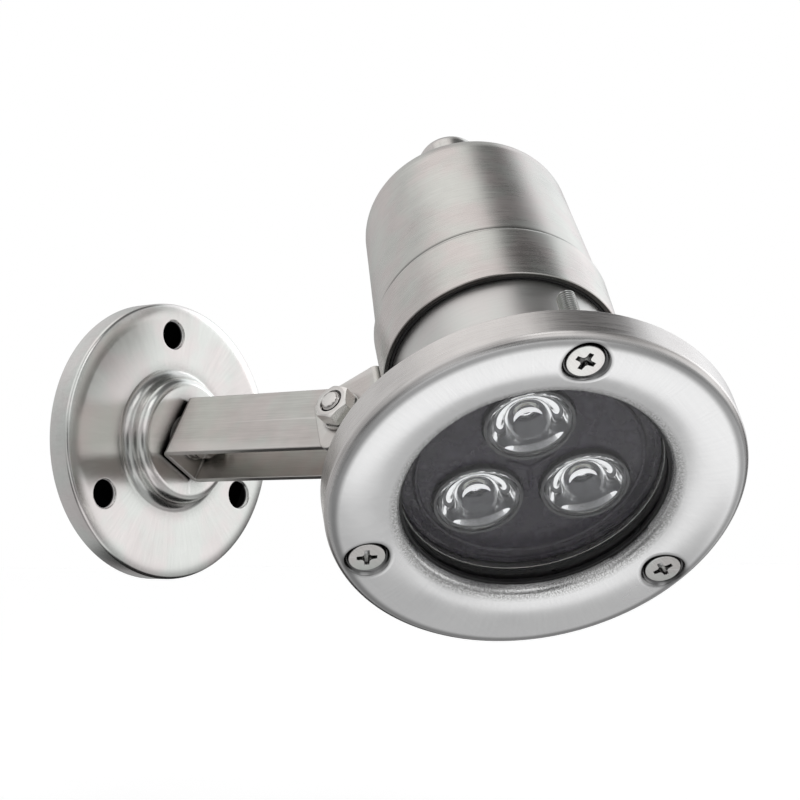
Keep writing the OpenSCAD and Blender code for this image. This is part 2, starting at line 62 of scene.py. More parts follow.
# ---------------- camera, fitted to the photograph's outlines
CAMERA_LENS = 91.935
CAMERA_AT = (-0.4353114, -0.4622410, -0.0255232)
CAMERA_RIGHT = Vector((0.6411937, -0.7673450, -0.0072334)).normalized()
CAMERA_AHEAD = Vector((0.7662610, 0.6397224, 0.0599935)).normalized()

camera = placed("camera", bpy.data.cameras.new("camera"))
camera.data.lens = CAMERA_LENS
camera.data.sensor_width = 36
camera.data.clip_start = 0.01
camera.data.clip_end = 50
up = CAMERA_RIGHT.cross(CAMERA_AHEAD).normalized()
turn = Matrix((CAMERA_RIGHT, up, -CAMERA_AHEAD)).transposed().to_4x4()
turn.translation = Vector(CAMERA_AT)
camera.matrix_world = turn
scene.camera = camera


# ---------------- frames of the CAD, in metres
def local_frame(x, y, z, origin):
    m = Matrix((x, y, z)).transposed().to_4x4()
    m.translation = Vector(origin)
    return m


SWIVEL, TILT = radians(32), radians(33)
PIVOT_H, LAMP_OFFSET, PIVOT_Z = 85, 46, 59
OUT = Vector((0, -1, 0))
ARM_UP = Vector((sin(SWIVEL), 0, cos(SWIVEL)))
TO_NUT = Vector((-cos(SWIVEL), 0, sin(SWIVEL)))
TO_LAMP = cos(TILT) * OUT + sin(TILT) * ARM_UP
AIM = sin(TILT) * OUT - cos(TILT) * ARM_UP
PIVOT = OUT * PIVOT_H

WALL = local_frame((1, 0, 0), (0, 0, 1), OUT, (0, 0, 0))
ARM = local_frame(TO_NUT, -ARM_UP, OUT, (0, 0, 0))
LAMP = local_frame(TO_NUT, TO_LAMP, -AIM, (PIVOT + TO_LAMP * LAMP_OFFSET + AIM * PIVOT_Z) * MM)
TILT_AXIS = local_frame(-OUT, -ARM_UP, TO_NUT, PIVOT * MM)


# ---------------- shapes, in millimetres
def arc(cx, cy, r, start, end, step=9):
    n = max(2, round(abs(end - start) / step))
    return [(cx + r * cos(radians(start + (end - start) * i / n)),
             cy + r * sin(radians(start + (end - start) * i / n))) for i in range(n + 1)]


def rounded(points, step=12):
    """Closed outline of (x, y, radius) with its corners rounded."""
    out = []
    n = len(points)
    for i, (x, y, r) in enumerate(points):
        p = Vector((x, y))
        a = Vector(points[i - 1][:2]) - p
        b = Vector(points[(i + 1) % n][:2]) - p
        if r <= 0:
            out.append((x, y))
            continue
        room = 0.49 * min(a.length, b.length)
        a.normalize()
        b.normalize()
        half = acos(max(-1, min(1, a.dot(b)))) / 2
        if half > radians(88.5):
            out.append((x, y))
            continue
        d = min(r / tan(half), room)
        r = d * tan(half)
        c = p + (a + b).normalized() * (r / sin(half))
        s0, s1 = p + a * d - c, p + b * d - c
        a0 = atan2(s0.y, s0.x)
        turn = (atan2(s1.y, s1.x) - a0 + pi) % (2 * pi) - pi
        k = max(2, round(abs(degrees(turn)) / step))
        out += [(c.x + r * cos(a0 + turn * j / k), c.y + r * sin(a0 + turn * j / k)) for j in range(k + 1)]
    return out


def lathe(profile, segs=144, angles=None, closed=True):
    """Profile of (r, z) turned about Z. A point on the axis becomes one vertex."""
    angles = angles or [2 * pi * i / segs for i in range(segs)]
    n = len(angles)
    verts, rows, faces = [], [], []
    for r, z in profile:
        if r < 1e-6:
            rows.append([len(verts)] * n)
            verts.append((0, 0, z))
        else:
            rows.append(list(range(len(verts), len(verts) + n)))
            verts += [(r * cos(a), r * sin(a), z) for a in angles]
    for i in range(len(profile) if closed else len(profile) - 1):
        a, b = rows[i], rows[(i + 1) % len(rows)]
        for k in range(n):
            m = (k + 1) % n
            f = []
            for v in (a[k], a[m], b[m], b[k]):
                if v not in f:
                    f.append(v)
            if len(f) > 2:
                faces.append(f)
    return verts, faces


def joined(shapes):
    """Several shapes as one."""
    verts, faces = [], []
    for v, f in shapes:
        base = len(verts)
        verts += v
        faces += [[base + i for i in face] for face in f]
    return verts, faces


def skin(rows, n, first):
    """Faces between closed rows of n points, the first of them at point first."""
    return [[a + k, a + (k + 1) % n, a + n + (k + 1) % n, a + n + k]
            for a in range(first, first + (rows - 1) * n, n) for k in range(n)]


def moved(shape, matrix):
    return [tuple(matrix @ Vector(v)) for v in shape[0]], shape[1]


def about(shape, turn, radius=0.0):
    return moved(shape, Matrix.Rotation(radians(turn), 4, "Z") @ Matrix.Translation((radius, 0, 0)))


def three(shape, radius, start):
    return [about(shape, start + 120 * i, radius) for i in range(3)]


def spots(radius, start):
    """Where three() puts its shapes."""
    turns = [radians(start + 120 * i) for i in range(3)]
    return [(radius * cos(a), radius * sin(a)) for a in turns]


def flat_with_holes(outer, holes, z, inner=None):
    """Flat face at height z between loops, triangulated."""
    bm = bmesh.new()
    edges = []
    for loop in [outer] + holes + ([inner] if inner else []):
        vs = [bm.verts.new((x, y, z)) for x, y in loop]
        edges += [bm.edges.new((vs[i], vs[(i + 1) % len(vs)])) for i in range(len(vs))]
    bmesh.ops.triangle_fill(bm, use_beauty=True, use_dissolve=False, edges=edges, normal=(0, 0, 1))
    bm.verts.index_update()
    out = [tuple(v.co) for v in bm.verts], [[v.index for v in f.verts] for f in bm.faces]
    bm.free()
    return out


def circle(cx, cy, r, n=48):
    return [(cx + r * cos(2 * pi * i / n), cy + r * sin(2 * pi * i / n)) for i in range(n)]


def inset(outline, d):
    """The outline moved inwards by d; it runs anticlockwise."""
    out = []
    n = len(outline)
    for i in range(n):
        p = Vector(outline[i])
        a = (p - Vector(outline[i - 1])).normalized()
        b = (Vector(outline[(i + 1) % n]) - p).normalized()
        na, nb = Vector((-a.y, a.x)), Vector((-b.y, b.x))
        m = (na + nb).normalized()
        out.append(tuple(p + m * (d / max(0.3, m.dot(na)))))
    return out


def plate(outline, holes, thick, edge=0.25):
    """Flat plate from -thick/2 to thick/2 with rounded edges; holes are (x, y, r)."""
    steps = [(edge * (1 - sin(radians(a))), -thick / 2 + edge * (1 - cos(radians(a))))
             for a in (0, 30, 60, 90)]
    steps += [(d, -h) for d, h in reversed(steps)]
    loops = [[inset(outline, d) for d, h in steps]]
    loops += [[circle(x, y, r + d, 40) for d, h in steps] for x, y, r in holes]
    verts, faces = [], []
    for rings in loops:
        n = len(rings[0])
        base = len(verts)
        for ring, (d, h) in zip(rings, steps):
            verts += [(x, y, h) for x, y in ring]
        faces += skin(len(steps), n, base)
    caps = [flat_with_holes(loops[0][j], [r[j] for r in loops[1:]], steps[j][1]) for j in (0, len(steps) - 1)]
    return welded(*joined([(verts, faces)] + caps))


def welded(verts, faces, cuts=()):
    """Merges doubled points, cuts the faces at planes x = value, and turns the normals outwards."""
    mesh = meshed("scratch", verts, faces)
    bm = bmesh.new()
    bm.from_mesh(mesh)
    bmesh.ops.remove_doubles(bm, verts=bm.verts, dist=0.002)
    for x in cuts:
        bmesh.ops.bisect_plane(bm, geom=bm.verts[:] + bm.edges[:] + bm.faces[:], plane_co=(x, 0, 0),
                               plane_no=(1, 0, 0), dist=1e-4)
    bmesh.ops.recalc_face_normals(bm, faces=bm.faces)
    bm.verts.index_update()
    out = [tuple(v.co) for v in bm.verts], [[v.index for v in f.verts] for f in bm.faces]
    bm.free()
    bpy.data.meshes.remove(mesh)
    return out


def bent(shape, parts, point):
    """Bends a plate that lies along X. parts are (length, turn in degrees) from its start; point maps the
    result."""
    total = sum(p[0] for p in parts)
    cuts, s = [], 0.0
    for length, turn in parts:
        k = max(1, round(abs(turn) / 7)) if turn else 1
        cuts += [s + length * j / k for j in range(k + 1)]
        s += length
    verts, faces = welded(shape[0], shape[1], [c for c in cuts if 0 < c < total])

    def along(s):
        p, heading, left = Vector((0, 0)), 0.0, s
        for i, (length, turn) in enumerate(parts):
            step = left if i == len(parts) - 1 or (i == 0 and left < 0) else max(min(left, length), 0)
            if abs(turn) < 1e-6:
                p = p + Vector((cos(heading), sin(heading))) * step
            else:
                k = radians(turn) / length
                h1 = heading + k * step
                p = p + Vector((sin(h1) - sin(heading), cos(heading) - cos(h1))) / k
                heading = h1
            left -= step
            if left <= 1e-9 and i < len(parts) - 1:
                break
        return p, Vector((-sin(heading), cos(heading)))

    out = []
    for x, y, h in verts:
        p, n = along(x)
        q = p + n * h
        out.append(point(q.x, q.y, y))
    return out, faces


def hexagon(flats, z0, z1, bore=None, high=True):
    """Hexagonal prism, solid or bored, with a turned chamfer at its low end and, if high, at the other too."""
    n = 96
    corner = flats / sqrt(3)
    crown = flats / 2 * 0.955
    out = []
    for i in range(n):
        a = 2 * pi * i / n
        local = (a + pi / 6) % (pi / 3) - pi / 6
        out.append((a, min(flats / 2 / cos(local), corner * 0.992)))
    verts, rows = [], []

    def row(rs, z):
        rows.append(list(range(len(verts), len(verts) + n)))
        for (a, _), r, h in zip(out, rs, z):
            verts.append((r * cos(a), r * sin(a), h))

    full = [r for _, r in out]
    slope = tan(radians(30))

    def ring(r, z):
        row([r] * n, [z] * n)

    if bore:
        ring(bore, z0 + 0.75)
        ring(bore + 0.6, z0)
    ring(crown - 0.25, z0)
    ring(crown, z0 + 0.03)
    row(full, [z0 + (r - crown) * slope for r in full])
    if high:
        row(full, [z1 - (r - crown) * slope for r in full])
        ring(crown, z1 - 0.03)
    else:
        row(full, [z1 - 0.12] * n)
        row([r - 0.12 for r in full], [z1] * n)
    ring(crown - 0.25, z1)
    if bore:
        ring(bore + 0.6, z1)
        ring(bore, z1 - 0.75)
    faces = []
    last = len(rows) if bore else len(rows) - 1
    for i in range(last):
        a, b = rows[i], rows[(i + 1) % len(rows)]
        faces += [[a[k], a[(k + 1) % n], b[(k + 1) % n], b[k]] for k in range(n)]
    if not bore:
        faces += [rows[0][::-1], rows[-1]]
    return verts, faces


def threaded(r, pitch, z0, z1, plain=0.0):
    """Rod with a V thread; its first stretch, plain long, is smooth, and the end at z1 is chamfered."""
    n, tip, depth = 48, 0.7, pitch * 0.62
    rows = max(2, round((z1 - z0) / pitch * 10))
    verts, faces = [(0, 0, z0)], []
    for j in range(rows + 1):
        z = z0 + (z1 - z0) * j / rows
        for i in range(n):
            a = 2 * pi * i / n
            wave = abs(2 * ((z / pitch - a / (2 * pi)) % 1) - 1)
            cut = depth * min(1, max(0, 1.25 * wave - 0.12))
            if z - z0 < plain:
                cut = 0
            top = r - max(0, tip - (z1 - z))
            rr = min(r - cut, top)
            verts.append((rr * cos(a), rr * sin(a), z))
    verts.append((0, 0, z1 + 0.12))
    end = len(verts) - 1
    faces += skin(rows + 1, n, 1)
    last = 1 + rows * n
    faces += [[0, 1 + (i + 1) % n, 1 + i] for i in range(n)]
    faces += [[end, last + i, last + (i + 1) % n] for i in range(n)]
    return verts, faces


# ---------------- materials
NOISE_SHIFT = (31.37, 17.71, 23.43)


class Nodes:
    """The node tree of a material or a world, with short ways to add what they share."""

    def __init__(self, owner):
        owner.use_nodes = True
        self.tree = owner.node_tree
        self.tree.nodes.clear()

    def add(self, kind, **settings):
        node = self.tree.nodes.new(kind)
        for key, value in settings.items():
            setattr(node, key, value)
        return node

    def join(self, a, b):
        self.tree.links.new(a, b)

    def put(self, socket, value):
        if isinstance(value, bpy.types.NodeSocket):
            self.join(value, socket)
        else:
            socket.default_value = value

    def math(self, op, a, b=0.0):
        node = self.add("ShaderNodeMath", operation=op)
        self.put(node.inputs[0], a)
        self.put(node.inputs[1], b)
        return node.outputs[0]

    def spread(self, value, from_min, from_max, to_min, to_max, smooth=False):
        node = self.add("ShaderNodeMapRange", clamp=True)
        if smooth:
            node.interpolation_type = "SMOOTHSTEP"
        for i, v in enumerate((value, from_min, from_max, to_min, to_max)):
            self.put(node.inputs[i], v)
        return node.outputs[0]

    def mix(self, factor, a, b):
        node = self.add("ShaderNodeMix", data_type="RGBA")
        self.put(node.inputs[0], factor)
        for socket, value in ((node.inputs[6], a), (node.inputs[7], b)):
            self.put(socket, value if isinstance(value, bpy.types.NodeSocket) else (*value, 1))
        return node.outputs[2]

    def blend(self, factor, a, b):
        node = self.add("ShaderNodeMix", data_type="FLOAT")
        self.put(node.inputs[0], factor)
        self.put(node.inputs[2], a)
        self.put(node.inputs[3], b)
        return node.outputs[0]

    def noise(self, vector, scale=1.0, detail=2.0, rough=0.5):
        node = self.add("ShaderNodeTexNoise")
        self.join(vector, node.inputs["Vector"])
        node.inputs["Scale"].default_value = scale
        node.inputs["Detail"].default_value = detail
        node.inputs["Roughness"].default_value = rough
        return node.outputs[0]

    def measure(self, op, vector, other):
        """A vector's distance from other, or its dot product with it."""
        node = self.add("ShaderNodeVectorMath", operation=op)
        self.join(vector, node.inputs[0])
        node.inputs[1].default_value = other
        return node.outputs["Value"]

    def place(self, frame_of=None):
        """Coordinates in millimetres, in the piece's own frame or in the given one."""
        node = self.add("ShaderNodeTexCoord").outputs["Object"]
        mapping = self.add("ShaderNodeMapping", vector_type="POINT")
        self.join(node, mapping.inputs[0])
        mapping.inputs["Scale"].default_value = (1000, 1000, 1000)
        if frame_of is not None:
            back = frame_of.inverted()
            mapping.inputs["Rotation"].default_value = back.to_euler("XYZ")
            mapping.inputs["Location"].default_value = back.translation * 1000
        return mapping.outputs[0]

    def scaled(self, vector, x, y, z):
        """The coordinates stretched, and shifted off the noise's own grid."""
        node = self.add("ShaderNodeVectorMath", operation="MULTIPLY_ADD")
        self.join(vector, node.inputs[0])
        node.inputs[1].default_value = (x, y, z)
        node.inputs[2].default_value = NOISE_SHIFT
        return node.outputs[0]

    def crevice(self, reach=1.2, low=0.3, floor=0.1):
        """Painted shade from ambient occlusion: 1 in the open, falling towards floor in narrow gaps and recesses.
        """
        node = self.add("ShaderNodeAmbientOcclusion", samples=4)
        node.inputs["Distance"].default_value = reach * MM
        return self.spread(node.outputs["AO"], low, 0.92, floor, 1.0)

    def times(self, color, factor):
        node = self.add("ShaderNodeMix", data_type="RGBA", blend_type="MULTIPLY")
        node.inputs[0].default_value = 1.0
        self.join(color, node.inputs[6])
        self.join(factor, node.inputs[7])
        return node.outputs[2]

    def spokes(self, vector, across, along=0.05):
        """Streaks that run out from the Z axis."""
        xyz = self.split(vector)
        node = self.add("ShaderNodeCombineXYZ")
        angle = self.math("ABSOLUTE", self.math("ARCTAN2", xyz[1], xyz[0]))
        self.join(self.math("MULTIPLY", angle, across), node.inputs[0])
        self.join(self.math("MULTIPLY", self.radius(xyz), along), node.inputs[1])
        self.join(self.math("MULTIPLY", xyz[2], 0.6), node.inputs[2])
        return node.outputs[0]

    def split(self, vector):
        node = self.add("ShaderNodeSeparateXYZ")
        self.join(vector, node.inputs[0])
        return node.outputs

    def radius(self, xyz):
        x2, y2 = self.math("MULTIPLY", xyz[0], xyz[0]), self.math("MULTIPLY", xyz[1], xyz[1])
        return self.math("SQRT", self.math("ADD", x2, y2))

    def turned(self, vector, across, around):
        """Streaks that run round the Z axis."""
        xyz = self.split(vector)
        node = self.add("ShaderNodeCombineXYZ")
        self.join(self.math("MULTIPLY", self.radius(xyz), across), node.inputs[0])
        self.join(self.math("MULTIPLY", xyz[2], across), node.inputs[1])
        angle = self.math("ABSOLUTE", self.math("ARCTAN2", xyz[1], xyz[0]))
        self.join(self.math("MULTIPLY", angle, around), node.inputs[2])
        return node.outputs[0]

    def bump(self, height, strength, distance=0.1, normal=None):
        node = self.add("ShaderNodeBump")
        node.inputs["Strength"].default_value = strength
        node.inputs["Distance"].default_value = distance * MM
        self.join(height, node.inputs["Height"])
        if normal is not None:
            self.join(normal, node.inputs["Normal"])
        return node.outputs[0]

    def glow(self, color):
        node = self.add("ShaderNodeEmission")
        self.put(node.inputs[0], color)
        return node.outputs[0]

    def gap(self, tint=(1, 1, 1)):
        node = self.add("ShaderNodeBsdfTransparent")
        node.inputs[0].default_value = (*tint, 1)
        return node.outputs[0]

    def either(self, factor, first, second):
        """The first shader where factor is 0 and the second where it is 1."""
        node = self.add("ShaderNodeMixShader")
        for socket, output in zip(node.inputs, (factor, first, second)):
            self.join(output, socket)
        return node.outputs[0]

    def backfacing(self):
        return self.add("ShaderNodeNewGeometry").outputs["Backfacing"]


class Material(Nodes):
    """A material round one principled shader."""

    NAMES = {"color": "Base Color", "rough": "Roughness", "normal": "Normal", "metal": "Metallic", "ior": "IOR",
             "coat": "Coat Weight", "coat_rough": "Coat Roughness", "aniso": "Anisotropic",
             "aniso_turn": "Anisotropic Rotation", "tangent": "Tangent", "specular": "Specular IOR Level",
             "glass": "Transmission Weight", "glow": "Emission Color", "glow_strength": "Emission Strength"}

    def __init__(self, name):
        self.mat = bpy.data.materials.new(name)
        super().__init__(self.mat)
        self.out = self.add("ShaderNodeOutputMaterial")
        self.shader = self.add("ShaderNodeBsdfPrincipled")
        self.end(self.shader.outputs[0])

    def set(self, **values):
        for key, value in values.items():
            if isinstance(value, tuple) and len(value) == 3:
                value = (*value, 1)
            self.put(self.shader.inputs[self.NAMES[key]], value)
        return self.mat

    def end(self, surface):
        self.join(surface, self.out.inputs[0])
        return self.mat

    def end_clear(self, surface, tint=(1, 1, 1)):
        """Ends in the surface, but clear for shadow and diffuse rays, so that light gets through."""
        path = self.add("ShaderNodeLightPath").outputs
        passing = self.math("MAXIMUM", path["Is Shadow Ray"], path["Is Diffuse Ray"])
        return self.end(self.either(passing, surface, self.gap(tint)))


def steel(name, brush, light, dark, rough, frame_of=None, aniso=0.0, bump=0.12, fine=3.4, gap=(1.2, 0.3, 0.1),
          painted_shade_zone=None):
    """Brushed stainless steel with painted shade in crevices and concave bends. brush is "turn" for marks round Z,
    "spoke" for marks out from it, or the letter of a straight brush's axis. gap is the reach, start and floor of
    the
    crevice shade. The last argument is (z, r, tone): below z and inside r the colour is darkened to tone, a
    painted shade."""
    n = Material(name)
    at = n.place(frame_of)
    if brush == "turn":
        coarse, hair = n.turned(at, 1.5, 2.2), n.turned(at, fine, 5.0)
    elif brush == "spoke":
        coarse, hair = n.spokes(at, 26), n.spokes(at, 110, 0.15)
    else:
        coarse, hair = (n.scaled(at, *[long if a == brush else across for a in "XYZ"])
                        for long, across in ((0.03, 1.5), (0.11, fine)))
    marks = n.blend(0.55, n.noise(coarse, 1, 3, 0.6), n.noise(hair, 1, 2, 0.7))
    cloud = n.noise(at, 0.055, 3, 0.55)
    tone = n.spread(n.blend(0.5, marks, cloud), 0.36, 0.64, 0, 1)
    metal = n.mix(tone, dark, light)
    tint = n.spread(n.noise(at, 0.09, 2, 0.5), 0.4, 0.6, 0, 1)
    tinted = n.times(metal, n.mix(tint, (1.0, 0.965, 0.955), (0.965, 1.0, 0.972)))
    bend = n.add("ShaderNodeNewGeometry").outputs["Pointiness"]
    edge = n.spread(bend, 0.515, 0.56, 0, 0.5)
    bright = tuple(min(1, c * 1.12) for c in light)
    # painted shade: darker in crevices and in concave bends
    painted_shade = n.math("MULTIPLY", n.crevice(*gap), n.spread(bend, 0.41, 0.485, 0.2, 1))
    # painted shade below z and inside r, darkening the colour to the given tone
    if painted_shade_zone:
        xyz = n.split(at)
        z, r, shade_tone = painted_shade_zone
        below, within = n.spread(xyz[2], z, z - 0.2, 0, 1), n.spread(n.radius(xyz), r, r - 0.2, 0, 1)
        inside = n.math("MULTIPLY", below, within)
        painted_shade = n.math("MULTIPLY", painted_shade, n.spread(inside, 0, 1, 1, shade_tone))
    n.set(color=n.times(n.mix(edge, tinted, bright), painted_shade), metal=1.0,
          rough=n.spread(n.blend(0.5, cloud, marks), 0.34, 0.66, *rough), normal=n.bump(marks, bump, 0.06))
    if aniso:
        tangent = n.add("ShaderNodeTangent", direction_type="RADIAL", axis="Z")
        n.set(aniso=aniso, tangent=tangent.outputs[0], aniso_turn=0.25)
    return n.mat


def plain(name, light, dark, rough, scale=1.2, bump=0.1, coat=0.0, metal=0.0, streak=None, specular=0.5):
    """Moulded or painted surface with mottled colour, varied gloss and a fine texture."""
    n = Material(name)
    at = n.place()
    blotch = n.noise(n.scaled(at, *streak) if streak else at, scale * 0.25, 3)
    fine = n.noise(at, scale * 4, 4, 0.6)
    n.set(color=n.mix(n.spread(n.blend(0.4, blotch, fine), 0.35, 0.65, 0, 1), dark, light), metal=metal,
          rough=n.spread(n.blend(0.5, fine, blotch), 0.35, 0.65, *rough), normal=n.bump(fine, bump, 0.05),
          specular=specular)
    if coat:
        n.set(coat=coat, coat_rough=0.08)
    return n.mat


def clear(name, tint, ior, haze=0.0):
    """Clear glass that lets lamp and sky light through to what is behind it."""
    n = Material(name)
    at = n.place()
    film = n.noise(at, 0.35, 4, 0.6)
    n.set(color=tint, glass=1.0, ior=ior, rough=n.spread(film, 0.5, 0.75, 0.0, haze) if haze else 0.0,
          normal=n.bump(n.noise(at, 0.15, 2), 0.03, 0.02))
    return n.end_clear(n.shader.outputs[0], tint)


SHEET_LIGHT, SHEET_DARK = (0.80, 0.775, 0.76), (0.60, 0.575, 0.565)
M = {
    # the can gets painted shade on the front face of its collar, next to the O-ring
    "can": steel("brushed_can", "turn", SHEET_LIGHT, SHEET_DARK, (0.22, 0.36), aniso=0.55, bump=0.16,
                 painted_shade_zone=(52.4, 33.25, 0.15)),
    "neck": steel("brushed_neck", "turn", (0.74, 0.73, 0.72), (0.56, 0.55, 0.54), (0.30, 0.42), aniso=0.5),
    # the flange gets painted shade inside the dish behind its face, and crevice shade that reaches 6 mm
    "flange": steel("brushed_flange", "spoke", (0.87, 0.858, 0.855), (0.75, 0.738, 0.735), (0.17, 0.26),
                    aniso=0.45, bump=0.08, painted_shade_zone=(7.8, 41.4, 0.06), gap=(6, 0.5, 0.1)),
    "arm": steel("brushed_arm", "Z", (0.74, 0.715, 0.70), (0.55, 0.53, 0.515), (0.26, 0.40), bump=0.18),
    "ears": steel("brushed_ears", "Y", (0.76, 0.735, 0.72), (0.58, 0.56, 0.545), (0.24, 0.38), bump=0.16),
    "cup": steel("turned_cup", "turn", (0.72, 0.72, 0.70), (0.52, 0.52, 0.51), (0.2, 0.34)),
    "bolt": steel("bright_fastener", "turn", (0.86, 0.85, 0.83), (0.62, 0.61, 0.60), (0.1, 0.26), bump=0.05,
                  fine=5),
    # deep painted shade in the cross recess and round the head
    "screw": steel("bright_screw", "X", (0.93, 0.93, 0.92), (0.74, 0.74, 0.73), (0.16, 0.3), bump=0.08, fine=5,
                   gap=(2.2, 0.45, 0.03)),
    "gland": steel("turned_gland", "turn", (0.80, 0.79, 0.78), (0.60, 0.59, 0.58), (0.16, 0.3), frame_of=LAMP),
    "washer": steel("washer_steel", "X", (0.84, 0.83, 0.81), (0.64, 0.63, 0.61), (0.2, 0.34), bump=0.1),
    "rubber": plain("black_rubber", (0.022, 0.022, 0.023), (0.012, 0.012, 0.012), (0.42, 0.62), 1.5, 0.25),
    "fibre": plain("fibre", (0.16, 0.15, 0.14), (0.08, 0.08, 0.075), (0.6, 0.8), 2, 0.3),
    "black": plain("black_plastic", (0.017, 0.012, 0.024), (0.009, 0.006, 0.013), (0.2, 0.32), 0.8, 0.06,
                   specular=0.34),
    "cupblack": plain("black_holder", (0.035, 0.034, 0.038), (0.018, 0.018, 0.02), (0.16, 0.28), 1, 0.06,
                      coat=0.3),
    # a lighter copy of the black holder plastic: painted light on the bore next to each lens
    "bore_painted_light": plain("holder_bore_painted_light", (0.10, 0.10, 0.11), (0.05, 0.05, 0.055), (0.16, 0.26), 1, 0.06,
                     coat=0.4),
    "glass": clear("clear_glass", (0.97, 0.975, 0.975), 1.27),
    "lens": clear("clear_lens", (0.97, 0.975, 0.985), 1.49, 0.04),
    "board": plain("white_board", (0.84, 0.84, 0.82), (0.70, 0.70, 0.68), (0.35, 0.5), 1, 0.05),
    "aluminium": plain("aluminium", (0.80, 0.81, 0.82), (0.62, 0.63, 0.64), (0.25, 0.42), 0.8, 0.15, metal=1.0,
                       streak=(1, 1, 8)),
    "wire": plain("wire_red", (0.50, 0.05, 0.04), (0.32, 0.03, 0.03), (0.35, 0.5), 1.5, 0.1),
    "pcb": plain("green_board", (0.06, 0.27, 0.12), (0.03, 0.16, 0.07), (0.3, 0.45), 1.2, 0.15, coat=0.3),
    "copper": plain("copper_wire", (0.75, 0.36, 0.18), (0.52, 0.22, 0.10), (0.25, 0.4), 2, 0.4, metal=1.0,
                    streak=(9, 9, 9)),
    "sleeve": plain("blue_sleeve", (0.06, 0.09, 0.28), (0.03, 0.05, 0.18), (0.25, 0.4), 1, 0.1),
    "terminal": plain("green_plastic", (0.12, 0.42, 0.22), (0.07, 0.30, 0.14), (0.4, 0.55), 1, 0.1),
}


SCREW_R, SCREW_TURN = 46.8, -75
SCREWS = spots(SCREW_R, SCREW_TURN)


def bezel_steel():
    """Polished face with hairlines, turned skirt and speckled rolled-in lip, with painted shade in crevices, in a
    band on the outer rounding and in a ring round each screw.
    """
    n = Material("satin_bezel")
    at = n.place()
    xyz = n.split(at)
    r = n.radius(xyz)
    straight, fanned = n.scaled(at, 0.05, 3.0, 3.0), n.spokes(at, 60, 0.08)
    face_marks = n.blend(0.5, n.noise(straight, 1, 3, 0.65), n.noise(fanned, 1, 3, 0.65))
    skirt_marks = n.noise(n.turned(at, 2.6, 3.0), 1, 3, 0.65)
    skirt = n.spread(r, 53.4, 54.6, 0, 1)
    lip = n.spread(r, 38.9, 37.4, 0, 1)
    marks = n.blend(skirt, face_marks, skirt_marks)
    speckle = n.noise(at, 2.6, 3, 0.7)
    cloud = n.noise(at, 0.05, 3, 0.55)
    tone = n.spread(n.blend(0.5, marks, cloud), 0.36, 0.64, 0, 1)
    face = n.mix(tone, (0.86, 0.86, 0.865), (0.96, 0.96, 0.96))
    side = n.mix(tone, (0.60, 0.575, 0.565), (0.80, 0.775, 0.76))
    specks = n.math("MULTIPLY", lip, n.spread(speckle, 0.4, 0.62, 0.75, 0))
    color = n.mix(specks, n.mix(skirt, face, side), (0.34, 0.34, 0.33))
    rough = n.blend(skirt, n.spread(cloud, 0.35, 0.65, 0.2, 0.28), n.spread(marks, 0.35, 0.65, 0.24, 0.36))
    normal = n.bump(marks, 0.07, 0.06)
    normal = n.bump(n.math("MULTIPLY", speckle, lip), 0.35, 0.12, normal)
    # painted shade in a band on the outer rounding of the crown
    rounding_shade = n.math("MULTIPLY", n.spread(r, 51.0, 52.7, 0, 1, True), n.spread(r, 54.2, 53.0, 0, 1, True))
    shade = n.math("MULTIPLY", n.crevice(1.4, 0.35, 0.05), n.spread(rounding_shade, 0, 1, 1, 0.42))
    near = 99.0
    for x, y in SCREWS:
        away = [n.math("POWER", n.math("SUBTRACT", a, b), 2.0) for a, b in ((xyz[0], x), (xyz[1], y))]
        near = n.math("MINIMUM", n.math("SQRT", n.math("ADD", *away)), near)
    # painted shade in a ring round each screw's dimple
    ring = n.math("MULTIPLY", n.spread(near, 4.7, 5.1, 0, 1), n.spread(near, 7.1, 5.7, 0, 1, True))
    shade = n.math("MULTIPLY", shade, n.spread(ring, 0, 1, 1, 0.38))
    n.set(color=n.times(color, shade), metal=1.0, rough=rough, normal=normal)
    return n.mat


def emitter():
    """White ceramic base with a pale silicone dome in front of it."""
    n = Material("phosphor")
    at = n.place()
    grain = n.noise(at, 3, 3, 0.6)
    base = n.mix(grain, (0.74, 0.74, 0.72), (0.86, 0.86, 0.84))
    dome = n.mix(grain, (0.66, 0.62, 0.42), (0.80, 0.77, 0.62))
    n.set(color=n.mix(n.spread(n.split(at)[2], 25.7, 25.85, 0, 1), dome, base),
          rough=n.spread(grain, 0.3, 0.7, 0.18, 0.32), normal=n.bump(grain, 0.05, 0.03),
          coat=0.6, coat_rough=0.05)
    return n.mat


def frost_and_painted_glow():
    """Frosted, with a painted glow standing in for light reflected inside the lens, where it is seen through the
    lens; clear where it is seen from the air side.
    """
    n = Material("frosted_well_painted_glow")
    grain = n.noise(n.place(), 2.2, 4, 0.65)
    n.set(color=(0.97, 0.975, 0.985), glass=1.0, ior=1.49, rough=n.spread(grain, 0.3, 0.7, 0.0, 0.05))
    frost = n.add("ShaderNodeBsdfDiffuse")
    n.join(n.mix(grain, (0.62, 0.62, 0.63), (0.98, 0.98, 0.99)), frost.inputs[0])
    frost_and_glow = n.add("ShaderNodeAddShader")
    n.join(frost.outputs[0], frost_and_glow.inputs[0])
    # painted glow, standing in for light reflected inside the lens
    n.join(n.glow(n.mix(grain, (0.55, 0.55, 0.555), (1.1, 1.1, 1.11))), frost_and_glow.inputs[1])
    through = n.math("MULTIPLY", n.backfacing(), 0.9)
    return n.end_clear(n.either(through, n.shader.outputs[0], frost_and_glow.outputs[0]))


M["bezel"] = bezel_steel()
M["phosphor"] = emitter()
M["well"] = frost_and_painted_glow()


